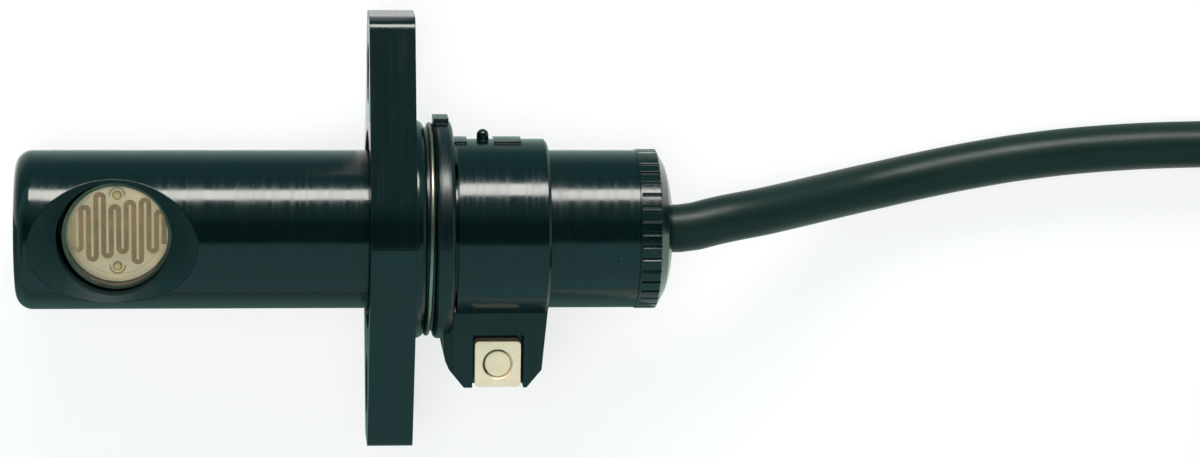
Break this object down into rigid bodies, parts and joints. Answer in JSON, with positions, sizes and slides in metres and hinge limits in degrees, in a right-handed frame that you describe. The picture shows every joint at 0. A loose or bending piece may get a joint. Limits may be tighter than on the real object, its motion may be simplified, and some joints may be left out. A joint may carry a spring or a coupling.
{
  "type": "oil burner photocell",
  "caption": "Side-looking light cell in a round probe tube, held by a slotted flange with a split screw clamp and a fixed lead out of its knurled cap.",
  "frame": {"origin": "on the probe tube's axis, in the flange's front face, which lies against the burner", "axes": "+X along the probe from its nose to the lead, +Y along the flange away from the clamp's lug, +Z out of the light window"},
  "size_m": [0.162, 0.0653, 0.02],
  "materials": {
    "housing": "glossy moulded, dark green-black",
    "can_metal": "thin drawn sheet, satin",
    "header_metal": "satin",
    "clear_glass": "clear, polished",
    "ceramic": "fired ceramic, matt under clear lacquer",
    "light_track": "baked light-sensitive print, matt",
    "terminal_wire": "tinned wire under lacquer, bright",
    "crimp_metal": "satin",
    "spring_steel": "bright drawn wire",
    "nickel_nut": "nickel plated, softly bright",
    "nickel_screw": "nickel plated, softly bright",
    "sheath": "smooth extruded sheath, semi-gloss",
    "bush_rubber": "matt",
    "shrink_sleeve": "matt shrunk sleeve",
    "core_brown": "smooth insulation",
    "core_blue": "smooth insulation",
    "tie_nylon": "satin nylon",
    "ferrule_metal": "tinned, satin"
  },
  "bodies": {
    "root": {"probe_tube": "housing", "cell_can": "can_metal", "cell_base": "header_metal", "cell_glass": "clear_glass", "cell_ceramic": "ceramic", "cell_track": "light_track", "cell_lead_upper": "terminal_wire", "cell_lead_lower": "terminal_wire", "crimp_upper": "crimp_metal", "crimp_lower": "crimp_metal", "crimp_sleeve_upper": "shrink_sleeve", "crimp_sleeve_lower": "shrink_sleeve", "inner_core_upper": "core_brown", "inner_core_lower": "core_blue", "cable_inner_end": "sheath", "cable_bush": "bush_rubber", "cable_cap": "housing", "mounting_flange": "housing", "clamp_sleeve": "housing", "spring_ring": "spring_steel", "clamp_nut": "nickel_nut", "clamp_screw": "nickel_screw", "sensor_cable": "sheath", "cable_coil": "sheath", "coil_tie": "tie_nylon", "cable_tail": "sheath", "end_sleeve": "shrink_sleeve", "end_core_left": "core_brown", "end_core_right": "core_blue", "ferrule_left": "ferrule_metal", "ferrule_right": "ferrule_metal"}
  },
  "joints": []
}
